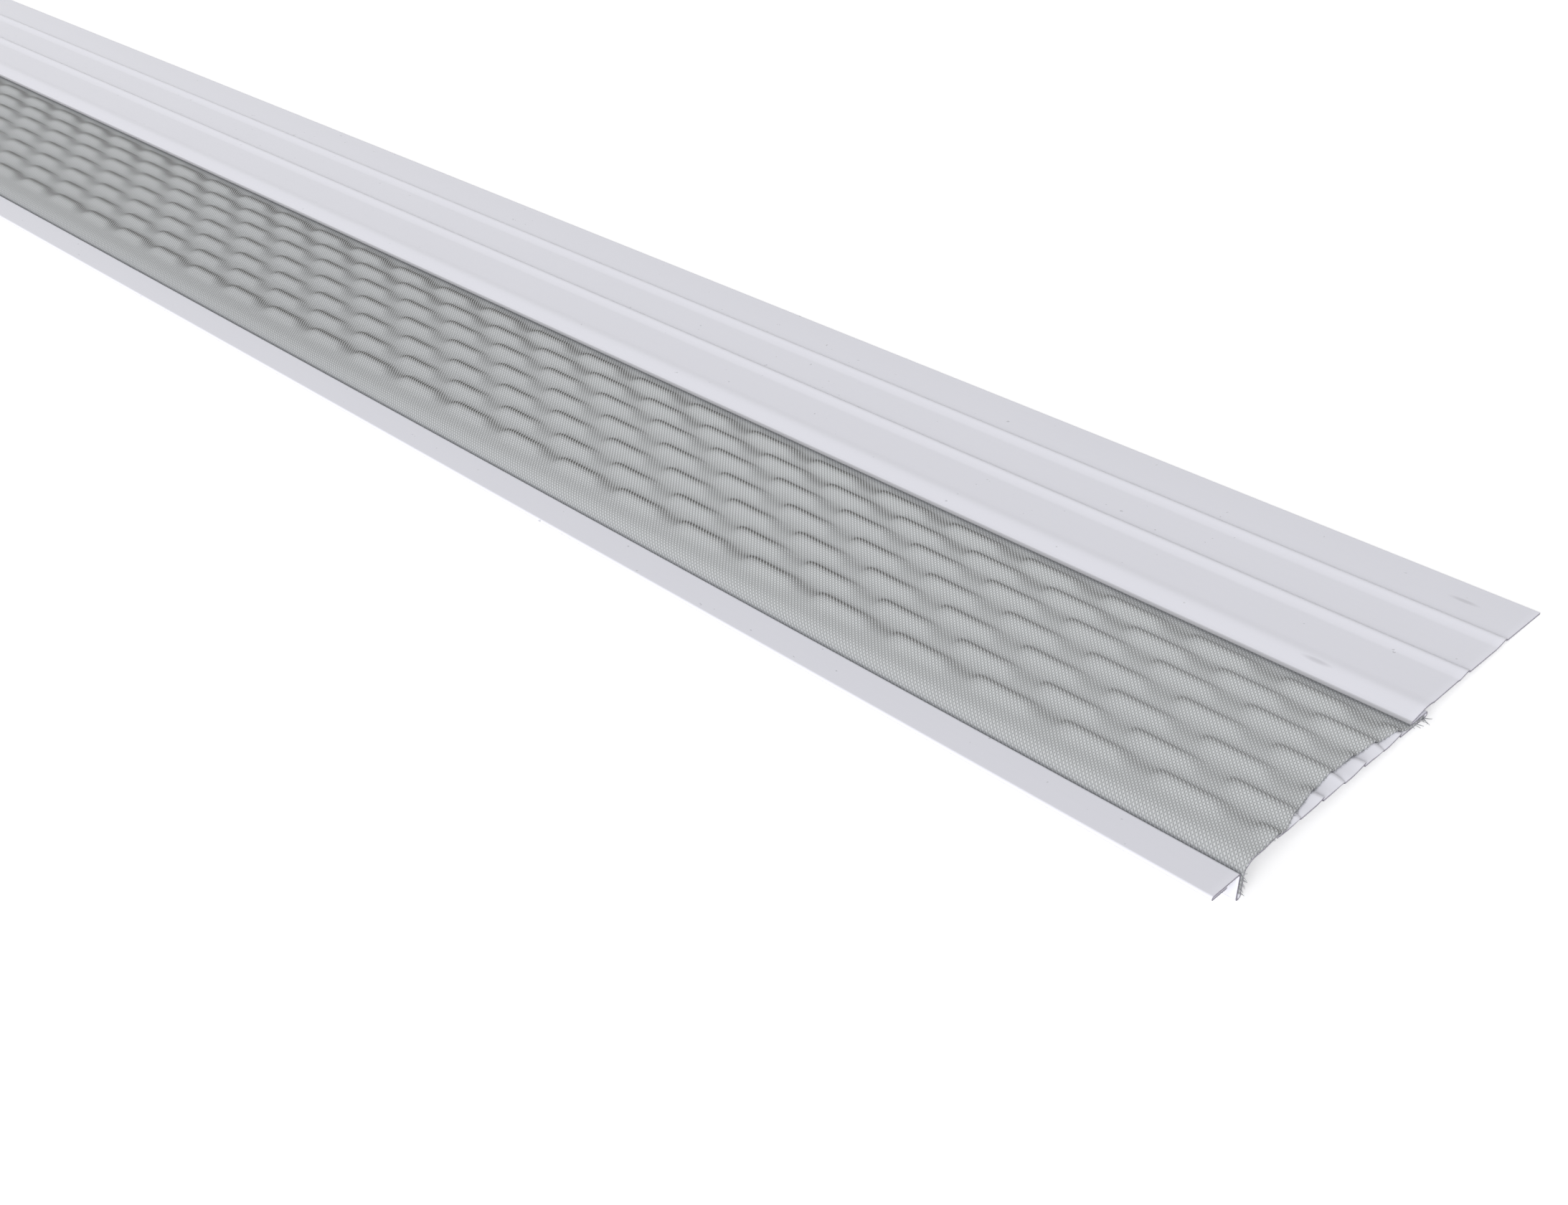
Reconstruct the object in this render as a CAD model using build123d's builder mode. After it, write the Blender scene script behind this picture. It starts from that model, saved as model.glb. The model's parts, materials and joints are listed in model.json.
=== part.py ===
from build123d import *
from math import asin, atan2, ceil, cos, degrees, hypot, sin
import os

os.makedirs("parts", exist_ok=True)

# A gutter guard: roll-formed painted aluminium, clamped round a stainless wire cloth.
# Millimetres. X runs along the guard, its front edge is at -Y and its rear flange at +Y.
# The guard lies as it does on a level floor, on its front fold and its rear edge.

# Stock
length = 914.4
sheet = 0.5
cloth = 0.45
cloth_clearance = 0.15

# Section: widths run back from the front edge, levels are heights above the deck
overall_width = 140.0
strip_width = 10.7
strip_level = -1.8
strip_hem = 5.0
strip_bend = 1.0
hem_gap = 0.2
front_pocket = 1.0
front_drop = 9.5
deck_bend = 3.5
clamp_front = 78.0
clamp_depth = 7.0
clamp_nose = 2.0
flange_level = 3.6
bead_width = 6.0
bead_height = 0.4
bead_rise = 1.5
front_bead = 99.2
rear_bead = 117.7

# Louvres: raised hoods in staggered rows, each open along its crest to the water from the rear
louvre_pitch = 25.4
louvre_offset = 3.9
louvre_length = 19.0
louvre_crest = 14.0
louvre_depth = 5.0
louvre_height = 0.8
crest_rows = (23.8, 32.6, 41.5, 50.2, 58.8, 66.7, 74.2)

# Bumps that the louvres raise in the wire cloth, which sags to the deck between two of them
bump_crest = 15.0
bump_depth = 5.6
bump_rear = 1.8

# The wire cloth was snipped short of the sheet at the near end
snip_depth = 3.4
snip_line = (28.0, 42.0, 66.0, 77.0)

# Both edges of the wire cloth are tucked into folds, and it stops short of their bottoms
tuck_margin = 0.8

# Sizes that follow
clamp_gap = cloth + 2 * cloth_clearance
hem_radius = sheet + hem_gap / 2
fold_radius = sheet + front_pocket / 2
clamp_level = clamp_gap + 2 * hem_radius
deck_front = strip_width + front_pocket
fold_centre = (strip_width + front_pocket / 2, fold_radius - front_drop)
blank = length + 2 * louvre_pitch
near_end = length / 2

# Lean: the floor line touches the round of the front fold and the rear edge
reach = overall_width - fold_centre[0]
rise = flange_level - sheet - fold_centre[1]
lean = atan2(rise, reach) + asin(fold_radius / hypot(reach, rise))


def leaned(across, level):
    """Turn a point of the section by the lean, before the guard is set on its place."""
    return (
        across * cos(lean) + level * sin(lean),
        level * cos(lean) - across * sin(lean),
    )


front_limit = leaned(hem_radius, strip_level - hem_radius)[0] - hem_radius
rear_limit = leaned(overall_width, flange_level)[0]
shift_y = -(front_limit + rear_limit) / 2
shift_z = fold_radius - leaned(*fold_centre)[1]


def section_plane(x):
    """The plane of the section at x: across the guard, then up from the deck."""
    return Plane(origin=(x, shift_y, shift_z), x_dir=(0, cos(lean), -sin(lean)), z_dir=(1, 0, 0))


def deck_plane(across, level):
    """A plane parallel to the deck, with its origin at a point of the section."""
    y, z = leaned(across, level)
    return Plane(origin=(0, shift_y + y, shift_z + z), x_dir=(1, 0, 0), z_dir=(0, sin(lean), cos(lean)))


def bead(front):
    """A low stiffening bead: a short rise from its rear foot, then a long round fall to the front."""
    crest = (front + bead_width - bead_rise, flange_level + bead_height)
    Line((front + bead_width, flange_level), crest)
    middle = (front + (bead_width - bead_rise) / 2, flange_level + bead_height * 0.58)
    return ThreePointArc(crest, middle, (front, flange_level))


def hood(span, crest, depth, rear, height, foot):
    """A raised hood with hipped ends: where its front outline and its side outline meet."""
    with BuildPart() as solid:
        with BuildSketch(Plane.XZ.offset(depth)):
            with BuildLine():
                Polyline(
                    (-span / 2, -foot),
                    (span / 2, -foot),
                    (span / 2, 0),
                    (crest / 2, height),
                    (-crest / 2, height),
                    (-span / 2, 0),
                    close=True,
                )
            make_face()
        extrude(amount=-(depth + rear))
        with BuildSketch(Plane.YZ):
            with BuildLine():
                outline = [(rear, -foot), (-depth, -foot), (-depth, 0), (0, height)]
                if rear > 0:
                    outline.append((rear, 0))
                Polyline(*outline, close=True)
            make_face()
        extrude(amount=span / 2, both=True, mode=Mode.INTERSECT)
    return solid.part


def louvre_places():
    """Where the louvres' crests stand, staggered by half a pitch from row to row."""
    count = ceil((length + louvre_length) / louvre_pitch) + 1
    places = []
    for row, across in enumerate(crest_rows):
        first = near_end + louvre_offset - row % 2 * louvre_pitch / 2
        places += [(first - n * louvre_pitch, across) for n in range(count)]
    return places


louvre_outside = hood(louvre_length, louvre_crest, louvre_depth, 0, louvre_height, sheet / 2)
louvre_inside = hood(louvre_length, louvre_crest, louvre_depth, 0, louvre_height, sheet)
bump_outside = hood(louvre_pitch, bump_crest, bump_depth, bump_rear, louvre_height, cloth / 2)
bump_inside = hood(louvre_pitch, bump_crest, bump_depth, bump_rear, louvre_height, cloth)

# The aluminium body: one strip of sheet, drawn along its upper side from rear to front
with BuildPart() as guard_body:
    with BuildSketch(section_plane(-blank / 2)):
        with BuildLine():
            Line((overall_width, flange_level), (rear_bead + bead_width, flange_level))
            bead(rear_bead)
            Line((rear_bead, flange_level), (front_bead + bead_width, flange_level))
            bead(front_bead)
            slope_top = (clamp_front + clamp_depth, flange_level)
            slope_foot = (clamp_front + clamp_nose, clamp_level)
            nose = (clamp_front + hem_radius, clamp_level)
            Polyline((front_bead, flange_level), slope_top, slope_foot, nose)
            hem = JernArc(start=nose, tangent=(-1, 0), radius=hem_radius, arc_size=180)
            under = Line(hem @ 1, (clamp_front + clamp_depth, clamp_gap))
            turn = JernArc(start=under @ 1, tangent=(1, 0), radius=clamp_gap / 2, arc_size=-180)
            deck = Line(turn @ 1, (deck_front + deck_bend, 0))
            shoulder = JernArc(start=deck @ 1, tangent=(-1, 0), radius=deck_bend, arc_size=90)
            rear_leg = Line(shoulder @ 1, (deck_front, fold_centre[1]))
            fold = JernArc(start=rear_leg @ 1, tangent=(0, -1), radius=front_pocket / 2, arc_size=-180)
            front_leg = Line(fold @ 1, (strip_width, strip_level - strip_bend))
            brow = JernArc(start=front_leg @ 1, tangent=(0, 1), radius=strip_bend, arc_size=90)
            strip = Line(brow @ 1, (hem_radius, strip_level))
            lip = JernArc(start=strip @ 1, tangent=(-1, 0), radius=hem_radius, arc_size=180)
            Line(lip @ 1, (lip @ 1) + (strip_hem, 0))
            offset(amount=sheet, side=Side.LEFT, kind=Kind.TANGENT)
        make_face()
    extrude(amount=blank)
    with Locations(deck_plane(0, 0)):
        with Locations(*louvre_places()):
            add(louvre_outside)
    with Locations(deck_plane(0, -sheet)):
        with Locations(*louvre_places()):
            add(louvre_inside, mode=Mode.SUBTRACT)
    split(bisect_by=Plane.YZ.offset(near_end), keep=Keep.BOTTOM)
    split(bisect_by=Plane.YZ.offset(-near_end), keep=Keep.TOP)

# The wire cloth: it runs from the rear clamp over the louvres and down into the front fold
with BuildPart() as wire_cloth:
    with BuildSketch(section_plane(-blank / 2)):
        with BuildLine():
            rear_edge = clamp_front + clamp_depth - tuck_margin
            bend_radius = deck_bend + cloth_clearance
            flat = Line((rear_edge, cloth_clearance), (deck_front + deck_bend, cloth_clearance))
            curve = JernArc(start=flat @ 1, tangent=(-1, 0), radius=bend_radius, arc_size=90)
            Line(curve @ 1, (deck_front - cloth_clearance, fold_centre[1] + tuck_margin))
            offset(amount=cloth, side=Side.RIGHT)
        make_face()
    extrude(amount=blank)
    with Locations(deck_plane(0, cloth_clearance + cloth)):
        with Locations(*louvre_places()):
            add(bump_outside)
    with Locations(deck_plane(0, cloth_clearance)):
        with Locations(*louvre_places()):
            add(bump_inside, mode=Mode.SUBTRACT)
    split(bisect_by=Plane.YZ.offset(near_end), keep=Keep.BOTTOM)
    split(bisect_by=Plane.YZ.offset(-near_end), keep=Keep.TOP)
    with BuildSketch(deck_plane(0, cloth_clearance)):
        with BuildLine():
            Polyline(
                (near_end, snip_line[0]),
                (near_end - snip_depth, snip_line[1]),
                (near_end - snip_depth, snip_line[2]),
                (near_end, snip_line[3]),
                close=True,
            )
        make_face()
    extrude(amount=cloth + louvre_height, mode=Mode.SUBTRACT)

guard_body.part.label = "guard_body"
export_step(guard_body.part, "parts/guard_body.step")
wire_cloth.part.label = "wire_cloth"
export_step(wire_cloth.part, "parts/wire_cloth.step")
print("lean", round(degrees(lean), 2), "degrees")
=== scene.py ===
# %% [markdown]
# The look of a gutter guard: a long roll-formed strip of white painted aluminium, with a
# stainless wire cloth stretched over its louvred deck and locked into two folds.
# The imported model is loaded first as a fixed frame. Every piece below is then worked out
# as a surface in that frame, so nothing is fitted by hand afterwards.

# %% Load the fixed frame
import json
from math import atan2, cos, degrees, pi, radians, sin

import bpy
import numpy as np
from mathutils import Euler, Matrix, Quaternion, Vector


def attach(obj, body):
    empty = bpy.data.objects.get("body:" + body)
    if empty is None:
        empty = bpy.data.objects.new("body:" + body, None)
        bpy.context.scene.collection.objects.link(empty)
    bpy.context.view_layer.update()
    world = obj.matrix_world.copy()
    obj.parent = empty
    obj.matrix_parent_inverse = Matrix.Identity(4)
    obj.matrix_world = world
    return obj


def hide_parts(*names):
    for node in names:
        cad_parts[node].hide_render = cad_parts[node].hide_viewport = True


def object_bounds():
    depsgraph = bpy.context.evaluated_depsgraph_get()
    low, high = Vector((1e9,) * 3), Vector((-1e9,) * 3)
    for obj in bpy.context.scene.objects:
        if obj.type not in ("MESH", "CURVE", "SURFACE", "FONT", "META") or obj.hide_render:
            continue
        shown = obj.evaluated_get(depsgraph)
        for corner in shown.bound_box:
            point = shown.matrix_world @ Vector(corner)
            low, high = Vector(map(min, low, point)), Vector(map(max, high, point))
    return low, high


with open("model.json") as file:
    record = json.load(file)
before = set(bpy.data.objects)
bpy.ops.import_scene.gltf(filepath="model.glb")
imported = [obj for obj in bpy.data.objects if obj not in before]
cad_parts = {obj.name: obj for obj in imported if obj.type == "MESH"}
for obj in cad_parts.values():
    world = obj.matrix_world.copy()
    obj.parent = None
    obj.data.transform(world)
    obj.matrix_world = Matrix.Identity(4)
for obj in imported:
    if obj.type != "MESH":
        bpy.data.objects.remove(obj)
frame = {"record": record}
cad_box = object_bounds()
mm = 0.001
print("CAD box", [round(c / mm, 1) for corner in cad_box for c in corner])

# %% [markdown]
# The guard is one section carried along a straight line, so its shape is easiest to say in
# the section's own coordinates: across, from the front edge to the rear, and level, the
# height above the deck. At rest the guard leans on its front fold, and the mounts in the
# record give that lean. One function then turns any array of section points into the frame.

# %% Set the section into the frame
SHEET = 0.5
OVERALL_WIDTH = 140.0
FLANGE_LEVEL = 3.6

mount_axis = frame["record"]["mounts"][0]["axis"]
lean = atan2(-mount_axis[1], -mount_axis[2])
near_end = cad_box[1].x / mm
length = 2 * near_end
rear_reach = OVERALL_WIDTH * cos(lean) + FLANGE_LEVEL * sin(lean)
rear_drop = (FLANGE_LEVEL - SHEET) * cos(lean) - OVERALL_WIDTH * sin(lean)
shift_y = cad_box[1].y / mm - rear_reach
shift_z = -rear_drop


def place(x, across, level):
    """Section points in the frame, in metres: across and level turned by the lean, then shifted."""
    x, across, level = np.broadcast_arrays(x, across, level)
    y = shift_y + across * cos(lean) + level * sin(lean)
    z = shift_z + level * cos(lean) - across * sin(lean)
    return np.stack([x, y, z], axis=-1) * mm


print("lean", round(degrees(lean), 2), "shift", round(shift_y, 2), round(shift_z, 2))

# %% [markdown]
# The camera stands in front of the near end and looks down along the guard, which runs out
# of the picture at the far end. Its place is given from the middle of the near end, and its
# lens was found by fitting the guard's long lines in the photograph.

# %% Camera
CAMERA_FROM_END = (134.6, -302.1, 273.7)
CAMERA_AZIMUTH = 47.55
CAMERA_ELEVATION = 35.81
CAMERA_ROLL = -4.37
CAMERA_LENS = 41.83

toward_camera = Vector((
    sin(radians(CAMERA_AZIMUTH)) * cos(radians(CAMERA_ELEVATION)),
    -cos(radians(CAMERA_AZIMUTH)) * cos(radians(CAMERA_ELEVATION)),
    sin(radians(CAMERA_ELEVATION)),
))
camera = bpy.data.objects.new("camera", bpy.data.cameras.new("camera"))
camera.data.lens = CAMERA_LENS
camera.data.sensor_width = 36
camera.data.clip_start = 0.01
camera.location = (Vector((near_end, 0, 0)) + Vector(CAMERA_FROM_END)) * mm
camera.rotation_mode = "QUATERNION"
upright = (-toward_camera).to_track_quat("-Z", "Y")
camera.rotation_quaternion = upright @ Quaternion((0, 0, 1), radians(CAMERA_ROLL))
bpy.context.collection.objects.link(camera)
bpy.context.scene.camera = camera
print("camera up", [round(c, 3) for c in camera.rotation_quaternion @ Vector((0, 1, 0))])

# %% [markdown]
# Every surface is a grid of points, so two helpers are enough to make all meshes. One turns
# a table of vertex numbers into the four-sided faces between them. The other writes points,
# faces and point attributes into a mesh with whole-array calls, which is much faster than
# adding vertices one by one. Two more give the points of an arc and a smooth step, of which
# the outlines are made.

# %% Mesh helpers


def grid_faces(numbers):
    """The quads of a grid: each cell joins its corner, the next across, along and back."""
    corners = [numbers[:-1, :-1], numbers[1:, :-1], numbers[1:, 1:], numbers[:-1, 1:]]
    return np.stack(corners, axis=-1).reshape(-1, 4)


def surface(name, points, faces, attributes=None):
    """A smooth mesh object from points and quads, with unused points dropped."""
    used, quads = np.unique(faces, return_inverse=True)
    quads = quads.reshape(faces.shape)
    points = points.reshape(-1, 3)[used]
    mesh = bpy.data.meshes.new(name)
    mesh.vertices.add(len(points))
    mesh.vertices.foreach_set("co", points.ravel())
    mesh.loops.add(quads.size)
    mesh.loops.foreach_set("vertex_index", quads.ravel())
    mesh.polygons.add(len(quads))
    mesh.polygons.foreach_set("loop_start", np.arange(0, quads.size, 4))
    mesh.update(calc_edges=True)
    mesh.shade_smooth()
    for key, values in (attributes or {}).items():
        mesh.attributes.new(key, "FLOAT", "POINT")
        mesh.attributes[key].data.foreach_set("value", values.ravel()[used])
    piece = bpy.data.objects.new(name, mesh)
    bpy.context.collection.objects.link(piece)
    print(name, len(points), "points", len(quads), "faces")
    return piece


def arc(centre, radius, start, end, steps):
    """Points of an arc: the centre plus the radius times cosine and sine of even angles."""
    angles = np.radians(np.linspace(start, end, steps))
    return np.stack([centre[0] + radius * np.cos(angles), centre[1] + radius * np.sin(angles)], -1)


def ease(values, start, end):
    """A smooth step: nought before start, one after end, and 3t squared less 2t cubed between."""
    t = np.clip((values - start) / (end - start), 0, 1)
    return t * t * (3 - 2 * t)


print("a grid of 2 by 3 points has", len(grid_faces(np.arange(6).reshape(2, 3))), "faces")

# %% [markdown]
# The louvres stand in seven staggered rows. One function says how far along its row each
# point is from the middle of the nearest louvre, and both the deck and the cloth over it
# use that, so a bump in the cloth always lies on its own louvre.

# %% Louvre places
LOUVRE_PITCH = 25.4
LOUVRE_OFFSET = 3.9
LOUVRE_HEIGHT = 0.8
CREST_ROWS = (23.8, 32.6, 41.5, 50.2, 58.8, 66.7, 74.2)


def from_louvre(x, row):
    """Distance along a row from the nearest louvre's middle: x less its place, wrapped at the pitch."""
    first = near_end + LOUVRE_OFFSET - row % 2 * LOUVRE_PITCH / 2
    return (x - first + LOUVRE_PITCH / 2) % LOUVRE_PITCH - LOUVRE_PITCH / 2


print(len(CREST_ROWS), "rows of louvres, each", round(length / LOUVRE_PITCH), "pitches long")

# %% [markdown]
# The aluminium body is one strip of sheet, drawn here along its upper side from the rear
# edge to the lip under the front strip. Flats need no points of their own, and only the
# round bends, the two stiffening beads and the fold's slope are sampled.

# %% Flange of the body and its two beads
REAR_BEAD = 117.7
FRONT_BEAD = 99.2
BEAD_WIDTH = 6.0
BEAD_HEIGHT = 0.6
BEAD_RISE = 0.3
BEAD_POINTS = 10
FLANGE_DIP = 0.015


def flange_at(across):
    """Level of the flange, which dips a little from its rear edge toward the fold."""
    return FLANGE_LEVEL - FLANGE_DIP * (OVERALL_WIDTH - across)


def bead(front):
    """A rolled bead: a short smooth rise from its rear foot, then a long fall, 1 - t to the power 1.3."""
    t = np.linspace(0, 1, BEAD_POINTS) ** 1.4
    rise = ease(t, 0, BEAD_RISE) * (1 - t) ** 1.3
    across = front + BEAD_WIDTH * (1 - t)
    return np.stack([across, flange_at(across) + BEAD_HEIGHT * rise / rise.max()], -1)


print("flange level at the front bead", round(flange_at(FRONT_BEAD), 2), "mm")

# %% [markdown]
# At the rear fold the sheet slopes down, turns under itself round a tight nose and turns once
# more into the deck, and the cloth's rear edge sits in the gap between. At the front the
# sheet drops, folds up again round the cloth's front edge and ends in a flat strip, whose
# front edge is hemmed under.

# %% Folds, drop and front strip
HUMP_BACK = 88.0
HUMP_CREST = 84.6
HUMP_HEIGHT = 0.12
SLOPE_FOOT = 79.0
SLOPE_POINTS = 10
CLAMP_FRONT = 78.0
CLAMP_BACK = 85.0
CLAMP_LEVEL = 1.95
CLAMP_GAP = 0.75
HEM_RADIUS = 0.6
DECK_FRONT = 11.7
DECK_BEND = 3.5
STRIP_WIDTH = 10.7
STRIP_LEVEL = -1.8
STRIP_BEND = 1.0
STRIP_HEM = 5.0
POCKET = 1.0
POCKET_FOOT = -8.5


def fold_slope():
    """The sheet over the fold: a smooth step up to a low hump, then t to the power 1.2 down to the hem."""
    across = np.linspace(HUMP_BACK, SLOPE_FOOT, SLOPE_POINTS)
    top = flange_at(across) + HUMP_HEIGHT * ease(-across, -HUMP_BACK, -HUMP_CREST)
    fall = np.clip((HUMP_CREST - across) / (HUMP_CREST - SLOPE_FOOT), 0, 1) ** 1.2
    return np.stack([across, top - (top - CLAMP_LEVEL) * fall], -1)


flange = np.concatenate([
    [(OVERALL_WIDTH, FLANGE_LEVEL)],
    bead(REAR_BEAD),
    bead(FRONT_BEAD),
    fold_slope(),
    arc((CLAMP_FRONT + HEM_RADIUS, CLAMP_LEVEL - HEM_RADIUS), HEM_RADIUS, 90, 270, 8),
    arc((CLAMP_BACK, CLAMP_GAP / 2), CLAMP_GAP / 2, 90, -90, 6),
])
front = np.concatenate([
    arc((DECK_FRONT + DECK_BEND, -DECK_BEND), DECK_BEND, 90, 180, 7),
    arc((STRIP_WIDTH + POCKET / 2, POCKET_FOOT), POCKET / 2, 0, -180, 6),
    arc((STRIP_WIDTH - STRIP_BEND, STRIP_LEVEL - STRIP_BEND), STRIP_BEND, 0, 90, 5),
    arc((HEM_RADIUS, STRIP_LEVEL - HEM_RADIUS), HEM_RADIUS, 90, 270, 7),
    [(HEM_RADIUS + STRIP_HEM, STRIP_LEVEL - 2 * HEM_RADIUS)],
])
print("section points", len(flange), "behind the deck and", len(front), "before it")

# %% [markdown]
# The deck between is a height field with slits. Each louvre is a hood that climbs from the
# front to its crest, where the sheet was cut through, so that its mouth faces the water
# that runs down from the rear. The guard was cut with snips at the near end, so its last
# line is a shallow sawtooth. The narrow nose of the rear fold has a painted shade where it
# meets the cloth, so each point also keeps its share of that shade, and the nose reads as a thin dark line.

# %% Hoods, cut end and painted nose shade of the body
LOUVRE_LENGTH = 19.0
LOUVRE_CREST = 12.0
LOUVRE_DEPTH = 5.0
SNIP_BITE = 12.5
SNIP_STEP = 0.15
END_MARGIN = 0.01
NOSE_FADE = 0.45


def snipped(x, across):
    """The near end: its last line is cut back by a sawtooth, with one tooth for each bite of the snips."""
    bite = SNIP_STEP * ((across / SNIP_BITE) % 1)
    return x - bite * (x > near_end - END_MARGIN)


def louvre_lift(x, before, row):
    """Height of the hoods: a smooth step at both ends, and before the crest 1 - t to the power 1.2."""
    along = ease(-np.abs(from_louvre(x, row)), -LOUVRE_LENGTH / 2, -LOUVRE_CREST / 2)
    return LOUVRE_HEIGHT * along * (1 - before / LOUVRE_DEPTH) ** 1.2


def nose_shade(across):
    """Share of painted shade on the fold's nose: a smooth step from its top to its front, nought elsewhere.
    """
    return ease(CLAMP_FRONT + HEM_RADIUS - across, 0.0, NOSE_FADE) * (across > CLAMP_FRONT - HEM_RADIUS)


print("hood height at a crest", louvre_lift(near_end + LOUVRE_OFFSET, 0.0, 0), "mm")

# %% [markdown]
# Each crest is two lines of points at the same place, one on the flat sheet behind the cut
# and one on the hood. Where the hood is down they share their vertices, and where it is up
# they don't, which leaves the mouth open. Solidify then gives the sheet its thickness.

# %% The white body
BODY_STEPS = 12
HOOD_LINES = (0.0, 0.2, 0.5, 1.0)


def body_surface():
    """The body's grid, line by line from the rear to the front, its faces and the painted nose shade on its
    points.
    """
    x = np.linspace(-near_end, near_end, round(length / LOUVRE_PITCH * BODY_STEPS) + 1)
    lines, numbers, cuts, grime = [], [], [], []

    def add_line(across, level, shared=None):
        """Adds a line of points, which takes the vertices of the last line where shared is true."""
        own = np.arange(len(x)) + len(lines) * len(x)
        numbers.append(own if shared is None else np.where(shared, numbers[-1], own))
        lines.append(place(snipped(x, across), across, level))
        # Painted shade on the fold's nose, kept on the points for the paint to read
        grime.append(np.full(len(x), nose_shade(across)))

    for across, level in flange:
        add_line(across, level)
    for row, crest in reversed(list(enumerate(CREST_ROWS))):
        add_line(crest, 0.0)
        cuts.append(len(lines))
        for before in LOUVRE_DEPTH * np.array(HOOD_LINES):
            lift = louvre_lift(x, before, row)
            add_line(crest - before, lift, lift == 0 if before == 0 else None)
    for across, level in front:
        add_line(across, level)
    faces = [grid_faces(np.stack(numbers[n - 1:n + 1])) for n in range(1, len(numbers)) if n not in cuts]
    return np.stack(lines), np.concatenate(faces), {"grime": np.stack(grime)}


body = surface("guard_body_sheet", *body_surface())
sheet_wall = body.modifiers.new("sheet thickness", "SOLIDIFY")
sheet_wall.thickness = SHEET * mm
sheet_wall.offset = -1
sheet_wall.material_offset_rim = 1
body.modifiers.new("flats keep their shading", "WEIGHTED_NORMAL")

# %% [markdown]
# The wire cloth is one woven sheet. It starts in the rear fold, lies over the louvres, which
# push it up in low bumps that fall away behind each crest, bends down over the deck's
# shoulder and ends in the front fold. At the near end it was trimmed shorter than the sheet
# between the two folds, in one shallow curve.

# %% Bumps and trimmed end of the wire cloth
CLOTH = 0.45
CLOTH_TOP = 0.6
BUMP_CREST = 11.0
BUMP_DEPTH = 5.6
BUMP_REAR = 1.8
END_GAP = 3.6
END_GAP_FROM = 27.0
END_GAP_TO = 77.5
END_DRAWN_IN = 16.0


def cloth_lift(x, across):
    """Height of the bumps: smooth steps at both ends and behind the crest, t to the power 1.2 before it."""
    lift = np.zeros(np.broadcast(x, across).shape)
    for row, crest in enumerate(CREST_ROWS):
        behind = across - crest
        along = ease(-np.abs(from_louvre(x, row)), -LOUVRE_PITCH / 2, -BUMP_CREST / 2)
        before = np.clip(1 + behind / BUMP_DEPTH, 0, 1) ** 1.2
        lift += LOUVRE_HEIGHT * along * before * (1 - ease(behind, 0, BUMP_REAR))
    return lift


def trimmed(x, across):
    """The cloth's near end: short by a half sine to the power 0.8 between the two ends of the gap."""
    t = np.clip((across - END_GAP_FROM) / (END_GAP_TO - END_GAP_FROM), 0, 1)
    short = END_GAP * np.sin(pi * t) ** 0.8
    return x - short * ease(x, near_end - END_DRAWN_IN, near_end)


middle_of_gap = (END_GAP_FROM + END_GAP_TO) / 2
print("cloth trimmed short by", round(near_end - trimmed(near_end, middle_of_gap), 2), "mm")

# %% [markdown]
# Over the open mouth of each louvre one sees through the cloth into the dark. The cloth's
# mesh has no holes to see through, so this dark line is a painted shade, kept as a value on its points, and
# the material reads it. It is softer at the near end, where one looks down through the weave, and
# stronger far along the guard, where the wires close up at the flatter angle.

# %% Painted shade over the louvres' mouths
# Distances from the near end, between which the shade of the far part sets in
FAR_FROM = 170.0
FAR_TO = 420.0
# Place and width of the line behind a crest, and how far forward its hook comes
CREASE_BEHIND = 0.5
CREASE_WIDTH = 1.15
CREASE_HOOK = 1.3
# Along a row from a louvre's middle: where the hook ends and where the mouth opens and closes
HOOK_END = -7.4
MOUTH_FAR_END = (-9.8, -8.2)
MOUTH_NEAR_END = (1.0, 10.0)
# Past the end of the last hook: where the next one rises
HOOK_RISE = (13.0, 23.2)
# Share of the shade between two mouths of each row, and how much wider the line is there
GAP_SHADE = (0.5, 0.22, 0.22, 0.22, 0.3, 0.5, 0.6)
GAP_SPREAD = 0.6
# Shares taken off at the near end, over these distances from it, and added on the far part
END_FADE = 0.45
END_FADE_FROM = 170.0
END_FADE_TO = 20.0
FAR_CREASE = 0.35


def far_share(x):
    """Nought near the near end and one on the far part: a smooth step between the two distances."""
    return ease(near_end - x, FAR_FROM, FAR_TO)


def mouth_shade(x, across):
    """Painted shade over the louvres' mouths: a bell behind each crest, hooked forward at its far end."""
    dark = np.zeros(np.broadcast(x, across).shape)
    for row, crest in enumerate(CREST_ROWS):
        along = from_louvre(x, row)
        past_hook = (along - HOOK_END) % LOUVRE_PITCH
        hook = ease(past_hook, *HOOK_RISE) * (1 - ease(past_hook, HOOK_RISE[1], LOUVRE_PITCH))
        behind = across - crest - CREASE_BEHIND + CREASE_HOOK * hook
        mouth = ease(along, *MOUTH_FAR_END) * (1 - ease(along, *MOUTH_NEAR_END))
        depth = GAP_SHADE[row] + (1 - GAP_SHADE[row]) * mouth
        width = CREASE_WIDTH * (1 + GAP_SPREAD * (1 - mouth))
        # Painted shade: the darkest bell at each point
        dark = np.maximum(dark, depth * np.exp(-(behind / width) ** 2))
    near_share = ease(x, near_end - END_FADE_FROM, near_end - END_FADE_TO)
    return dark * (1 + FAR_CREASE * far_share(x) - END_FADE * near_share)


first_louvre = near_end + LOUVRE_OFFSET - LOUVRE_PITCH
behind_crest = CREST_ROWS[0] + CREASE_BEHIND
print("darkness behind the crest of a louvre", round(float(mouth_shade(first_louvre, behind_crest)), 2))

# %% [markdown]
# The cloth is painted a little lighter on each hood, as painted light where the hood lifts it
# toward the light, and darker in the gap between two hoods, as painted shade. Bumps this low
# hardly show by their slope alone, so this painted tone is another value on the points. It
# also swings more on the far part, which is painted darker in all, as painted shade.

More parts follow.
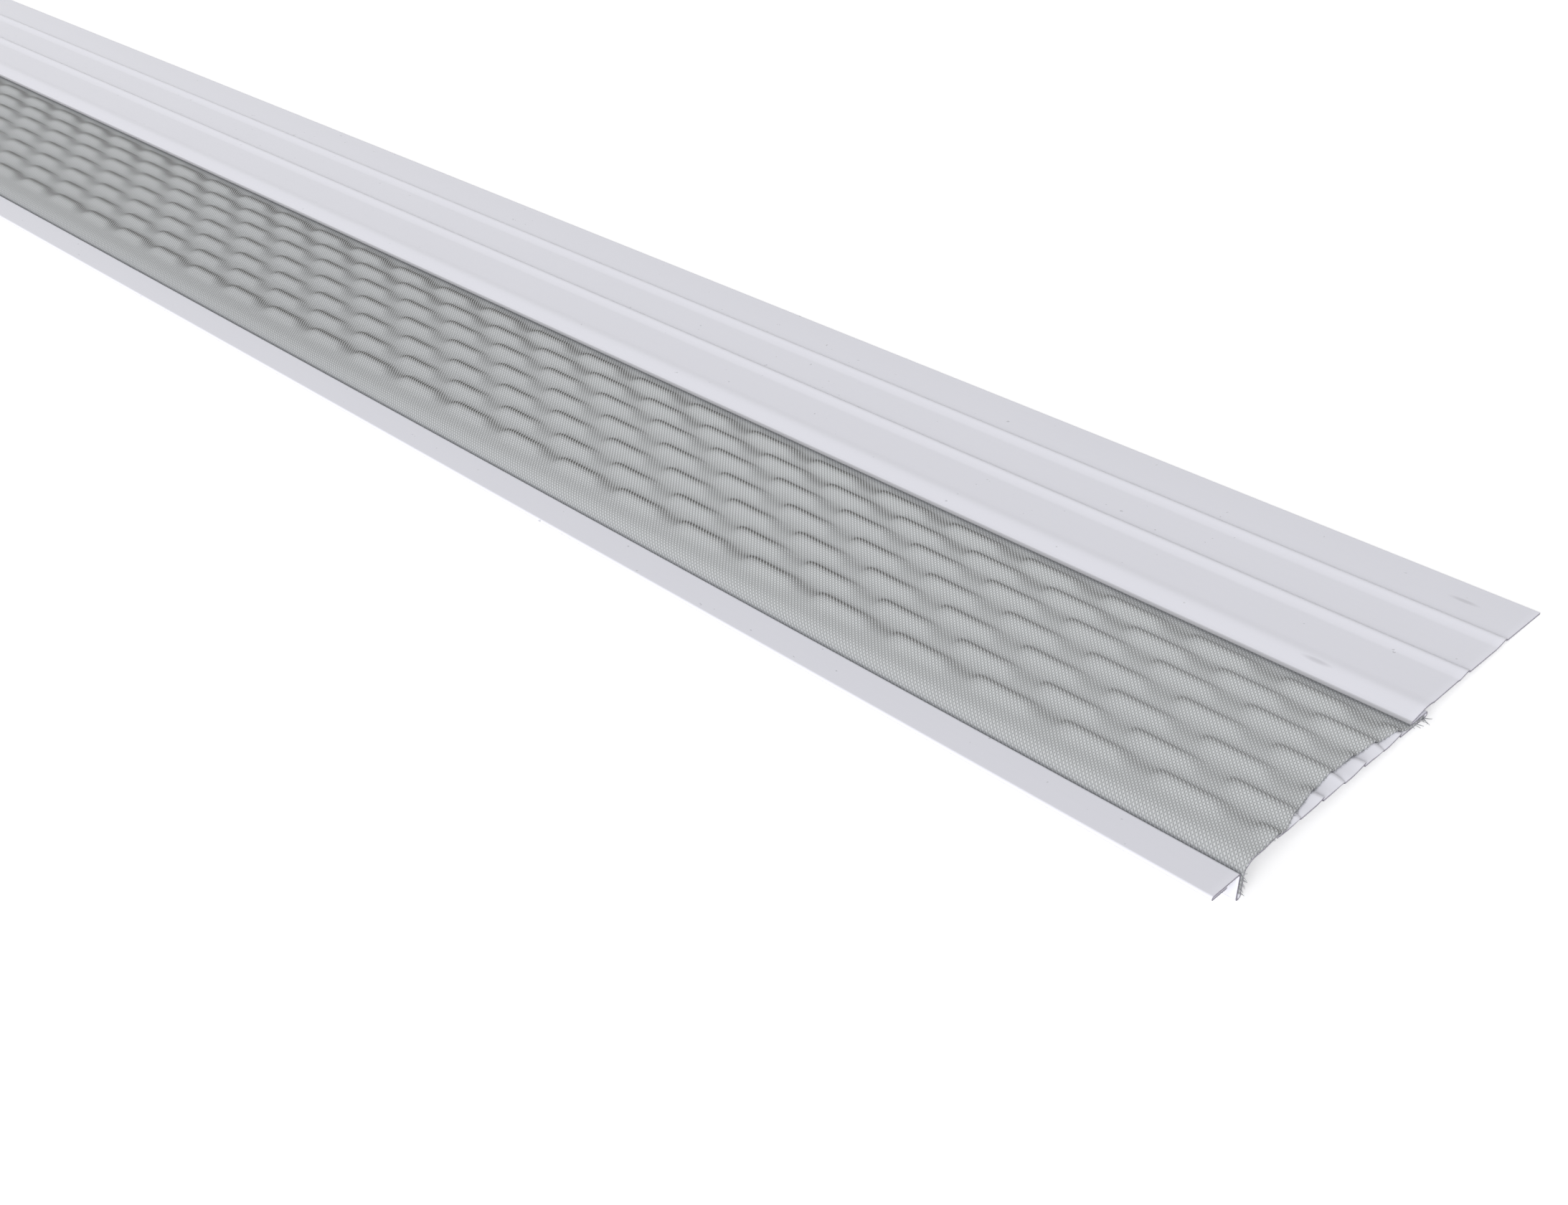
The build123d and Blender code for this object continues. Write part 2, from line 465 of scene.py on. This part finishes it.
# %% Painted light and shade of the cloth's hoods and gaps
# Change of tone on a hood and in a gap, painted light and painted shade, and what is added to it on the far
# part
HOOD_SWING = 0.09
FAR_SWING = 0.04
# Along a row from a louvre's middle: the far and the near side of the painted light patch
HOOD_FAR_SIDE = (-9.0, -4.5)
HOOD_NEAR_SIDE = 4.5
HOOD_FADE = 4.5
# The near side moves out by this share of the distance before the crest, up to its reach
HOOD_FLARE = 0.9
HOOD_REACH = 6.0
# Distances before the crest, between which the painted light on hoods and the painted shade in gaps come
# and go
LIGHT_RISE = (0.2, 1.4)
LIGHT_FALL = (3.8, 6.4)
SHADE_RISE = (-0.6, 0.8)
SHADE_FALL = (0.8, 5.5)
# Painted shade in darker stretches across the section, over the front bend and along the rear hem, and on
# the far part
BEND_SHADE = 0.02
BEND_ACROSS = (12.0, 17.5)
HEM_SHADE = 0.03
HEM_ACROSS = (74.6, 76.0)
FAR_SHADE = 0.13


def painted_hood_light_and_shade(x, across):
    """Painted tone of the cloth, one where it is plain: painted light on each hood, painted shade in the
    gaps before its crest.
    """
    tone = np.ones(np.broadcast(x, across).shape)
    swing = HOOD_SWING + FAR_SWING * far_share(x)
    for row, crest in enumerate(CREST_ROWS):
        before = crest - across
        along = from_louvre(x, row)
        near_side = HOOD_NEAR_SIDE + HOOD_FLARE * np.clip(before, 0, HOOD_REACH)
        hood = ease(along, *HOOD_FAR_SIDE) * (1 - ease(along, near_side, near_side + HOOD_FADE))
        # Painted light on the hood and painted shade in the gap before it
        tone += swing * hood * ease(before, *LIGHT_RISE) * (1 - ease(before, *LIGHT_FALL))
        tone -= swing * (1 - hood) * ease(before, *SHADE_RISE) * (1 - ease(before, *SHADE_FALL))
    # Painted shade over the front bend, on the far part and along the rear hem
    tone -= BEND_SHADE * (1 - ease(across, *BEND_ACROSS))
    return tone * (1 - FAR_SHADE * far_share(x)) - HEM_SHADE * ease(across, *HEM_ACROSS)


print("tone on the hood of that louvre", round(float(painted_hood_light_and_shade(first_louvre, CREST_ROWS[0] - 2)), 3))

# %% [markdown]
# The cloth's lines are close together where the bumps drop and wide apart where it is flat.
# The weave itself is far too fine for geometry, so the mesh also keeps each point's place on
# the flat cloth, and the material draws the wires from that.

# %% The wire cloth
CLOTH_REAR_LINES = (84.2, 81.0, 78.0)
CLOTH_FRONT_LINE = 17.5
CLOTH_BEND_POINTS = 9
CLOTH_FOOT = -7.7
LINES_PER_CREST = (1.8, 1.3, 0.8, 0.35, 0.0, -0.7, -1.9, -3.7, -5.6)
FIRST_COLUMN = -9.4
COLUMNS_PER_LOUVRE = (0.0, 0.5, 1.0, 1.8, 3.2, 5.2, 7.6, 10.2)
COLUMN_MARGIN = 0.1


def cloth_surface():
    """The cloth's grid from the rear fold to the front fold, with its flat place on each point."""
    half_pitches = np.arange(-1, 2 * length / LOUVRE_PITCH + 1)
    far_starts = near_end + LOUVRE_OFFSET + FIRST_COLUMN - LOUVRE_PITCH / 2 * half_pitches
    x = np.sort((far_starts[:, None] + COLUMNS_PER_LOUVRE).ravel())
    x = np.concatenate([[-near_end], x[np.abs(x) < near_end - COLUMN_MARGIN], [near_end]])
    rows = [crest + line for crest in reversed(CREST_ROWS) for line in LINES_PER_CREST]
    across = np.array([*CLOTH_REAR_LINES, *rows, CLOTH_FRONT_LINE])
    deck = np.stack([across, np.full(len(across), CLOTH_TOP)], -1)
    bend = arc((DECK_FRONT + DECK_BEND, -DECK_BEND), DECK_BEND + CLOTH_TOP, 90, 180, CLOTH_BEND_POINTS)
    section = np.concatenate([deck, bend, [(bend[-1, 0], CLOTH_FOOT)]])
    travel = np.concatenate([[0], np.cumsum(np.hypot(*np.diff(section, axis=0).T))])
    across, level = section[:, :1], section[:, 1:]
    x = trimmed(x, np.where(level == CLOTH_TOP, across, 0))
    points = place(x, across, level + cloth_lift(x, across))
    numbers = np.arange(points.shape[0] * points.shape[1]).reshape(points.shape[:2])
    attributes = {
        "cloth_along": x * mm,
        "cloth_across": travel[:, None] * mm * np.ones_like(x),
        # Painted shade over the mouths, and painted light and shade on hoods and gaps, for the material
        "mouth_shade": mouth_shade(x, across),
        "tone": painted_hood_light_and_shade(x, across),
    }
    return points, grid_faces(numbers), attributes


cloth = surface("wire_cloth_weave", *cloth_surface())
cloth_wall = cloth.modifiers.new("cloth thickness", "SOLIDIFY")
cloth_wall.thickness = CLOTH * mm
cloth_wall.offset = -1
cloth.modifiers.new("edges keep their shading", "WEIGHTED_NORMAL")

# %% [markdown]
# The snips left single wire ends along the cut. Each is a thin tube with four sides: a path
# from its root out past the edge, which droops or lifts as t squared, with a ring of four
# points about each step.

# %% Tubes for single wires
WIRE_RADIUS = 0.11
WIRE_STEPS = 6


def wire_ends(roots, reach, bend_across, bend_level):
    """Tubes from roots of x, across and level: root plus reach times t, bent by t squared, then ringed."""
    t = np.linspace(0, 1, WIRE_STEPS)[None, :]
    path = np.stack([
        roots[:, :1] + reach[:, None] * t,
        roots[:, 1:2] + bend_across[:, None] * t ** 2,
        roots[:, 2:] + bend_level[:, None] * t ** 2,
    ], -1)
    turn = np.radians([0, 90, 180, 270])
    x = path[..., :1]
    across = path[..., 1:2] + WIRE_RADIUS * np.cos(turn)
    level = path[..., 2:] + WIRE_RADIUS * np.sin(turn)
    points = place(x, across, level)
    numbers = np.arange(points[..., 0].size).reshape(points.shape[:3])
    start, end = numbers[:, :-1], numbers[:, 1:]
    sides = np.stack([start, np.roll(start, -1, 2), np.roll(end, -1, 2), end], -1).reshape(-1, 4)
    caps = np.concatenate([numbers[:, 0, ::-1], numbers[:, -1]])
    return points, np.concatenate([sides, caps])


print("a wire end has", WIRE_STEPS, "rings of points")

# %% [markdown]
# Most ends form a short fringe along the trimmed cloth, one at each pitch of the weave. The
# longest ones stick out of the rear fold and of the front drop. How far they reach and how
# they bend is random, from a fixed seed, so that every render shows the same ends.

# %% Loose wire ends at the near cut
WIRE_CURL_ACROSS = 0.25
WIRE_CURL_LEVEL = 0.2
ROOT_INSIDE = 0.8
FRINGE_INSIDE = 0.5
FRINGE_PITCH = 0.71
FRINGE_ACROSS = (16.0, 77.5)
FRINGE_REACH = (0.5, 0.95)
FOLD_ENDS = 9
FOLD_ACROSS = (78.5, 84.2)
FOLD_REACH = (1.2, 3.2)
DROP_ENDS = 10
DROP_BELOW = (1.0, 7.5)
DROP_REACH = (1.2, 2.2)
WIRE_SEED = 7


def roots_at(x, across, level):
    """Roots of wire ends from their x, across and level, as rows."""
    return np.stack(np.broadcast_arrays(x, across, level), -1)


rng = np.random.default_rng(WIRE_SEED)
fringe_across = np.arange(*FRINGE_ACROSS, FRINGE_PITCH)
fringe_x = trimmed(np.full(len(fringe_across), near_end), fringe_across) - FRINGE_INSIDE
drop_across = DECK_FRONT - CLOTH_TOP + CLOTH / 2
roots = np.concatenate([
    roots_at(fringe_x, fringe_across, CLOTH_TOP - CLOTH / 2),
    roots_at(near_end - ROOT_INSIDE, rng.uniform(*FOLD_ACROSS, FOLD_ENDS), CLAMP_GAP / 2),
    roots_at(near_end - ROOT_INSIDE, drop_across, -rng.uniform(*DROP_BELOW, DROP_ENDS)),
])
reach = np.concatenate([
    rng.uniform(*FRINGE_REACH, len(fringe_across)),
    rng.uniform(*FOLD_REACH, FOLD_ENDS),
    rng.uniform(*DROP_REACH, DROP_ENDS),
])
bend_across = rng.normal(0, WIRE_CURL_ACROSS, len(roots)) * reach
bend_level = rng.normal(0, WIRE_CURL_LEVEL, len(roots)) * reach
loose = surface("wire_cloth_loose_ends", *wire_ends(roots, reach, bend_across, bend_level))

# %% [markdown]
# A material is a small network of nodes. One function adds a node, sets its settings and
# constants, links what comes from other nodes and gives the output to go on from, and every
# material below uses it. The scale of a pattern is one over the size of what it draws, so a
# second function turns millimetres on the object into that scale.

# %% Material helpers


def linear(colour):
    """sRGB hex to linear: each channel over 12.92 when dark, else a power of 2.4."""
    channels = [int(colour[n:n + 2], 16) / 255 for n in (1, 3, 5)]
    return [c / 12.92 if c <= 0.04045 else ((c + 0.055) / 1.055) ** 2.4 for c in channels] + [1.0]


def new_material(name):
    """An empty material with its node tree and its shader."""
    material = bpy.data.materials.new(name)
    material.use_nodes = True
    return material, material.node_tree, material.node_tree.nodes["Principled BSDF"]


def add_node(tree, kind, settings=None, out=0, **inputs):
    """Adds a node and gives one of its outputs.

    Settings are the node's properties. Inputs are its sockets, by name or as in0, in1 and so on,
    each with a value or a link.
    """
    node = tree.nodes.new(kind)
    for key, value in (settings or {}).items():
        setattr(node, key, value)
    for key, value in inputs.items():
        socket = node.inputs[int(key[2:])] if key.startswith("in") else node.inputs[key.replace("_", " ")]
        if isinstance(value, bpy.types.NodeSocket):
            tree.links.new(value, socket)
        else:
            socket.default_value = value
    return node.outputs[out]


def per_metre(size):
    """Scale of a pattern from the size of one mark in millimetres: one over that size in metres."""
    return 1 / (np.array(size) * mm)


print("a mark of 2 mm has the scale", round(float(per_metre(2.0))))

# %% [markdown]
# Handling left a few dull scuffs on the paint, and two near the cut end are large enough to
# place: each has its distance from the near end, its place across and its strength. A scuff
# is a soft patch of a fixed size, broken up by the streaks of the paint so that it looks
# rubbed and not painted on.

# %% Scuffs on the paint
SCUFFS = ((15.7, 131.8, 0.5), (27.6, 83.4, 0.45))
SCUFF_SIZE = (5.0, 1.1, 10.0)
SCUFF_CORE = 0.2


def scuffed(tree, place_on, streaks, colour):
    """The colour with dull scuffs: round each measured place a smooth patch, broken up by the streaks."""
    scaled = add_node(tree, "ShaderNodeVectorMath", {"operation": "MULTIPLY"},
                      in0=place_on, in1=per_metre(SCUFF_SIZE))
    for x, across, shade in SCUFFS:
        centre = place(near_end - x, across, flange_at(across)) * per_metre(SCUFF_SIZE)
        away = add_node(tree, "ShaderNodeVectorMath", {"operation": "DISTANCE"}, out="Value",
                        in0=scaled, in1=centre)
        patch = add_node(tree, "ShaderNodeMapRange", {"interpolation_type": "SMOOTHSTEP"},
                         Value=away, in1=1.0, in2=SCUFF_CORE, in3=0.0, in4=shade)
        scratched = add_node(tree, "ShaderNodeMath", {"operation": "MULTIPLY"}, in0=patch, in1=streaks)
        colour = add_node(tree, "ShaderNodeMix", {"data_type": "RGBA"}, out=2, in0=scratched,
                          in6=colour, in7=linear("#6E6B70"))
    return colour


print(len(SCUFFS), "scuffs of", SCUFF_SIZE[0], "mm half length")

# %% [markdown]
# Coil-coated aluminium has a hard gloss polyester paint. It is very even, so it needs only
# a faint orange peel, streaks that the forming rolls rubbed along the strip, faint clouds and
# a few dark specks. The painted shade on the fold's nose comes from the body's own attribute.

# %% White coil-coated paint
STREAK_SIZE = (333.3, 1.111, 1.111)
CLOUD_SIZE = 71.43
SPECK_SIZE = 2.381
SPECK_EDGE = (0.745, 0.77)
SPECK_SHADE = 0.35
PEEL_SIZE = 2.0
PEEL_HEIGHT = 0.04
PEEL_STRENGTH = 0.25
PAINT_IOR = 1.5
PAINT_ROUGHNESS = (0.26, 0.38)
NOSE_SHADE_DEPTH = 0.65


def coil_paint():
    """Gloss white polyester coil coat: even colour, faint roll streaks, orange peel and specks."""
    material, tree, shader = new_material("gloss_white_coil_paint")
    place_on = add_node(tree, "ShaderNodeTexCoord", out="Object")
    streaked = add_node(tree, "ShaderNodeMapping", in0=place_on, Scale=per_metre(STREAK_SIZE))
    streaks = add_node(tree, "ShaderNodeTexNoise", Vector=streaked, Scale=1.0, Detail=3.0)
    clouds = add_node(tree, "ShaderNodeTexNoise", Vector=place_on, Scale=per_metre(CLOUD_SIZE), Detail=4.0)
    specks = add_node(tree, "ShaderNodeTexNoise", Vector=place_on, Scale=per_metre(SPECK_SIZE), Detail=2.0)
    both = add_node(tree, "ShaderNodeMath", {"operation": "ADD"}, in0=streaks, in1=clouds)
    tone = add_node(tree, "ShaderNodeMath", {"operation": "MULTIPLY"}, in0=both, in1=0.5)
    colour = add_node(tree, "ShaderNodeMix", {"data_type": "RGBA"}, out=2, in0=tone,
                      in6=linear("#E3E3EB"), in7=linear("#E7E7EF"))
    dark = add_node(tree, "ShaderNodeMapRange", Value=specks, in1=SPECK_EDGE[0], in2=SPECK_EDGE[1],
                    in3=0.0, in4=SPECK_SHADE)
    colour = add_node(tree, "ShaderNodeMix", {"data_type": "RGBA"}, out=2, in0=dark,
                      in6=colour, in7=linear("#77757A"))
    colour = scuffed(tree, place_on, streaks, colour)
    # Painted shade on the fold's nose: the colour mixed toward dark grey by its share
    grime = add_node(tree, "ShaderNodeAttribute", {"attribute_name": "grime"}, out="Fac")
    nose_shade_mix = add_node(tree, "ShaderNodeMath", {"operation": "MULTIPLY"}, in0=grime, in1=NOSE_SHADE_DEPTH)
    colour = add_node(tree, "ShaderNodeMix", {"data_type": "RGBA"}, out=2, in0=nose_shade_mix,
                      in6=colour, in7=linear("#5E5E5C"))
    tree.links.new(colour, shader.inputs["Base Color"])
    rough = add_node(tree, "ShaderNodeMapRange", Value=streaks,
                     in3=PAINT_ROUGHNESS[0], in4=PAINT_ROUGHNESS[1])
    tree.links.new(rough, shader.inputs["Roughness"])
    shader.inputs["IOR"].default_value = PAINT_IOR
    peel = add_node(tree, "ShaderNodeTexNoise", Vector=place_on, Scale=per_metre(PEEL_SIZE), Detail=1.0)
    bump = add_node(tree, "ShaderNodeBump", Strength=PEEL_STRENGTH, Distance=PEEL_HEIGHT * mm, Height=peel)
    tree.links.new(bump, shader.inputs["Normal"])
    return material


body.data.materials.append(coil_paint())
print("paint streaks", STREAK_SIZE[1], "mm wide")

# %% [markdown]
# Where the strip was cut, the bare aluminium shows as a thin grey line. It is a plain metal
# with a fine grain from the blades. The real grain is too fine to show, so it is drawn in
# patches of about half a millimetre. The rim that Solidify makes takes this second material.

# %% Cut edges of the sheet
CUT_GRAIN = 0.5556
CUT_ROUGHNESS = 0.45


def cut_aluminium():
    """Bare aluminium on cut edges: a grey metal, its tone broken up by the grain from the blades."""
    material, tree, shader = new_material("sheared_aluminium_edge")
    place_on = add_node(tree, "ShaderNodeTexCoord", out="Object")
    grain = add_node(tree, "ShaderNodeTexNoise", Vector=place_on, Scale=per_metre(CUT_GRAIN), Detail=2.0)
    colour = add_node(tree, "ShaderNodeMix", {"data_type": "RGBA"}, out=2, in0=grain,
                      in6=linear("#8F8B98"), in7=linear("#C4C0CC"))
    tree.links.new(colour, shader.inputs["Base Color"])
    shader.inputs["Metallic"].default_value = 1.0
    shader.inputs["Roughness"].default_value = CUT_ROUGHNESS
    return material


body.data.materials.append(cut_aluminium())
print("body materials", [slot.name for slot in body.data.materials])

# %% [markdown]
# Plain woven wire cloth: each wire goes over one and under the next. Seen from above, a wire
# is a raised stripe whose height rises and falls as a cosine along it, with the opposite
# phase on the next wire, and the taller of the two wires hides the other where they cross.
# Between four wires there is a hole. The knuckles get a painted highlight on one flank, so they read
# as slanting lines along one diagonal of the weave.

# %% Stripes of the weave
WIRE_EDGE = (0.42, 0.2)
LINE_SHARE = 0.6


def wire_stripes(tree, position, other, phase):
    """One set of wires: the stripe about each whole number, its sway as a cosine, and its height."""
    number = add_node(tree, "ShaderNodeMath", {"operation": "ROUND"}, in0=position)
    offset = add_node(tree, "ShaderNodeMath", {"operation": "SUBTRACT"}, in0=position, in1=number)
    aside = add_node(tree, "ShaderNodeMath", {"operation": "ABSOLUTE"}, in0=offset)
    stripe = add_node(tree, "ShaderNodeMapRange", {"interpolation_type": "SMOOTHSTEP"},
                      Value=aside, in1=WIRE_EDGE[0], in2=WIRE_EDGE[1], in3=0.0, in4=1.0)
    crossing = add_node(tree, "ShaderNodeMath", {"operation": "ADD"}, in0=number, in1=other)
    shifted = add_node(tree, "ShaderNodeMath", {"operation": "ADD"}, in0=crossing, in1=phase)
    angle = add_node(tree, "ShaderNodeMath", {"operation": "MULTIPLY"}, in0=shifted, in1=pi)
    sway = add_node(tree, "ShaderNodeMath", {"operation": "COSINE"}, in0=angle)
    ride = add_node(tree, "ShaderNodeMath", {"operation": "MULTIPLY_ADD"}, in0=sway, in1=0.5, in2=1.0)
    height = add_node(tree, "ShaderNodeMath", {"operation": "MULTIPLY"}, in0=stripe, in1=ride)
    return stripe, sway, height


def lit_wires(tree, warp, weft, warp_stripe, warp_sway):
    """Painted highlight on the wires: slanting lines, a cosine of warp less weft, mixed with the warp's
    knuckles.
    """
    top = add_node(tree, "ShaderNodeMath", {"operation": "MULTIPLY_ADD"}, in0=warp_sway, in1=0.5, in2=0.5)
    knuckle = add_node(tree, "ShaderNodeMath", {"operation": "MULTIPLY"}, in0=warp_stripe, in1=top)
    diagonal = add_node(tree, "ShaderNodeMath", {"operation": "SUBTRACT"}, in0=warp, in1=weft)
    angle = add_node(tree, "ShaderNodeMath", {"operation": "MULTIPLY"}, in0=diagonal, in1=pi)
    wave = add_node(tree, "ShaderNodeMath", {"operation": "COSINE"}, in0=angle)
    line = add_node(tree, "ShaderNodeMath", {"operation": "MULTIPLY_ADD"}, in0=wave, in1=0.5, in2=0.5)
    rest = add_node(tree, "ShaderNodeMath", {"operation": "MULTIPLY"}, in0=knuckle, in1=1 - LINE_SHARE)
    lit = add_node(tree, "ShaderNodeMath", {"operation": "MULTIPLY_ADD"},
                   in0=line, in1=LINE_SHARE, in2=rest)
    return line, lit


print("a stripe is", round(sum(WIRE_EDGE), 2), "of its pitch wide")

# %% [markdown]
# The cloth's two sets of wires are these stripes at their real pitches, taken from each
# point's place on the flat cloth. The warp runs a little aslant, by about a fifth of the
# distance across. The holes are painted grey, as the white deck in shade. Over a louvre's open mouth the
# cloth has a painted shade, mostly between its bright lines, and on the hood in front of it a painted
# light, and both come from the cloth's own attributes. Stainless wire is a metal, but the colour of a
# point this far away is a mix of wire and hole, so it is only partly metallic.

# %% Stainless wire cloth
WARP_PITCH = 0.54
WEFT_PITCH = 0.71
WEAVE_SKEW = 0.215
CREASE_REACH = 1.15
WIRE_METALLIC = 0.6
HOLE_ROUGHNESS = 0.8
WIRE_ROUGHNESS = 0.55
WEAVE_HEIGHT = 0.12
WEAVE_STRENGTH = 0.45


def wire_weave():
    """Stainless plain weave at its real size, worked out from each point's place on the flat cloth."""
    material, tree, shader = new_material("stainless_plain_weave")
    along, across, dark, tone = (
        add_node(tree, "ShaderNodeAttribute", {"attribute_name": name}, out="Fac")
        for name in ("cloth_along", "cloth_across", "mouth_shade", "tone")
    )
    skewed = add_node(tree, "ShaderNodeMath", {"operation": "MULTIPLY_ADD"},
                      in0=across, in1=-WEAVE_SKEW, in2=along)
    warp = add_node(tree, "ShaderNodeMath", {"operation": "DIVIDE"}, in0=skewed, in1=WARP_PITCH * mm)
    weft = add_node(tree, "ShaderNodeMath", {"operation": "DIVIDE"}, in0=across, in1=WEFT_PITCH * mm)
    warp_stripe, warp_sway, warp_height = wire_stripes(tree, warp, weft, 0.0)
    weft_stripe, _, weft_height = wire_stripes(tree, weft, warp, 1.0)
    covered = add_node(tree, "ShaderNodeMath", {"operation": "MAXIMUM"}, in0=warp_stripe, in1=weft_stripe)
    height = add_node(tree, "ShaderNodeMath", {"operation": "MAXIMUM"}, in0=warp_height, in1=weft_height)
    line, lit = lit_wires(tree, warp, weft, warp_stripe, warp_sway)
    # Painted highlight: the steel is lighter on the knuckles' lit flank
    steel = add_node(tree, "ShaderNodeMix", {"data_type": "RGBA"}, out=2, in0=lit,
                     in6=linear("#ADAFB0"), in7=linear("#D6D8DA"))
    # Holes painted grey as the white deck in shade
    colour = add_node(tree, "ShaderNodeMix", {"data_type": "RGBA"}, out=2, in0=covered,
                      in6=linear("#909296"), in7=steel)
    # Painted shade over the louvres' mouths, mostly between the bright lines
    between = add_node(tree, "ShaderNodeMath", {"operation": "SUBTRACT"}, in0=CREASE_REACH, in1=line)
    mouth_shaded = add_node(tree, "ShaderNodeMath", {"operation": "MULTIPLY"}, in0=dark, in1=between)
    colour = add_node(tree, "ShaderNodeMix", {"data_type": "RGBA"}, out=2, in0=mouth_shaded,
                      in6=colour, in7=linear("#302C24"))
    # Painted light on hoods and painted shade in gaps, on the bend, far part and hem, scale the colour
    colour = add_node(tree, "ShaderNodeVectorMath", {"operation": "SCALE"}, in0=colour, Scale=tone)
    tree.links.new(colour, shader.inputs["Base Color"])
    metal = add_node(tree, "ShaderNodeMath", {"operation": "MULTIPLY"}, in0=covered, in1=WIRE_METALLIC)
    tree.links.new(metal, shader.inputs["Metallic"])
    rough = add_node(tree, "ShaderNodeMapRange", Value=covered, in3=HOLE_ROUGHNESS, in4=WIRE_ROUGHNESS)
    tree.links.new(rough, shader.inputs["Roughness"])
    bump = add_node(tree, "ShaderNodeBump", Strength=WEAVE_STRENGTH,
                    Distance=WEAVE_HEIGHT * mm, Height=height)
    tree.links.new(bump, shader.inputs["Normal"])
    return material


cloth.data.materials.append(wire_weave())
print("weave drawn at", WARP_PITCH, "by", WEFT_PITCH, "mm")

# %% [markdown]
# The loose ends are the same drawn stainless wire, one at a time, so they take a plain light
# metal, a little rough from the drawing.

# %% Bare wire of the loose ends
BARE_WIRE_ROUGHNESS = 0.4


def bare_wire():
    """Drawn stainless wire: a light grey metal, a little rough."""
    material, _, shader = new_material("drawn_stainless_wire")
    shader.inputs["Base Color"].default_value = linear("#C9CBCD")
    shader.inputs["Metallic"].default_value = 1.0
    shader.inputs["Roughness"].default_value = BARE_WIRE_ROUGHNESS
    return material


loose.data.materials.append(bare_wire())
print("loose ends", [slot.name for slot in loose.data.materials])

# %% [markdown]
# The guard lies on a pale floor. To the camera alone the floor also gives a little light of
# its own, so that it looks white and still keeps the guard's shadow.

# %% Floor
FLOOR_SIZE = 12.0
FLOOR_LIFT = 0.32
FLOOR_ROUGHNESS = 0.9

floor_mesh = bpy.data.meshes.new("floor")
half = FLOOR_SIZE / 2
floor_corners = [(-half, -half, 0), (half, -half, 0), (half, half, 0), (-half, half, 0)]
floor_mesh.from_pydata(floor_corners, [], [(0, 1, 2, 3)])
floor = bpy.data.objects.new("floor", floor_mesh)
bpy.context.collection.objects.link(floor)
floor_material, floor_tree, floor_shader = new_material("pale_floor")
floor_shader.inputs["Base Color"].default_value = linear("#F2F2F2")
floor_shader.inputs["Roughness"].default_value = FLOOR_ROUGHNESS
floor_shader.inputs["Emission Color"].default_value = (1, 1, 1, 1)
floor_seen = add_node(floor_tree, "ShaderNodeLightPath", out="Is Camera Ray")
lift = add_node(floor_tree, "ShaderNodeMath", {"operation": "MULTIPLY"}, in0=floor_seen, in1=FLOOR_LIFT)
floor_tree.links.new(lift, floor_shader.inputs["Emission Strength"])
floor_mesh.materials.append(floor_material)
print("floor", FLOOR_SIZE, "m wide")

# %% [markdown]
# The world is full white where the camera, a reflection or a ray through something clear
# meets it, and dimmer where it only lights the object, so that the paint keeps its shades. A
# soft, low key light from the front makes the slopes of the low beads a little brighter than
# the flats. It has no mirror image of its own, so that the gloss paint doesn't flare white
# when it is seen from the rear.

# %% World and key light
WORLD_LEVEL = 0.46
KEY_POWER = 2.6
KEY_ELEVATION = 29
KEY_AZIMUTH = 20
KEY_WIDTH = 35

world = bpy.data.worlds.new("studio")
bpy.context.scene.world = world
world.use_nodes = True
sky = world.node_tree
camera_ray, glossy_ray, clear_ray = (
    add_node(sky, "ShaderNodeLightPath", out=ray)
    for ray in ("Is Camera Ray", "Is Glossy Ray", "Is Transmission Ray")
)
seen = add_node(sky, "ShaderNodeMath", {"operation": "MAXIMUM"}, in0=camera_ray, in1=glossy_ray)
seen = add_node(sky, "ShaderNodeMath", {"operation": "MAXIMUM"}, in0=seen, in1=clear_ray)
level = add_node(sky, "ShaderNodeMapRange", Value=seen, in3=WORLD_LEVEL, in4=1.0)
background = sky.nodes["Background"]
sky.links.new(level, background.inputs["Strength"])
background.inputs["Color"].default_value = (1, 1, 1, 1)

key = bpy.data.objects.new("key", bpy.data.lights.new("key", "SUN"))
key.data.energy = KEY_POWER
key.data.angle = radians(KEY_WIDTH)
key.visible_glossy = False
key.rotation_euler = Euler((radians(90 - KEY_ELEVATION), 0, radians(KEY_AZIMUTH)))
bpy.context.collection.objects.link(key)
bpy.context.scene.view_settings.view_transform = "Standard"
print("world at", WORLD_LEVEL, "and key at", KEY_POWER)

# %% [markdown]
# All three pieces ride on the guard's one body. The sheet and the weave stand for the plain
# solids of the frame, and the loose wire ends are added to them.

# %% Hand the pieces to the frame
for piece, slot in ((body, "white_paint"), (cloth, "stainless_mesh"), (loose, "stainless_mesh")):
    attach(piece, "root")
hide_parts("guard_body")
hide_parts("wire_cloth")
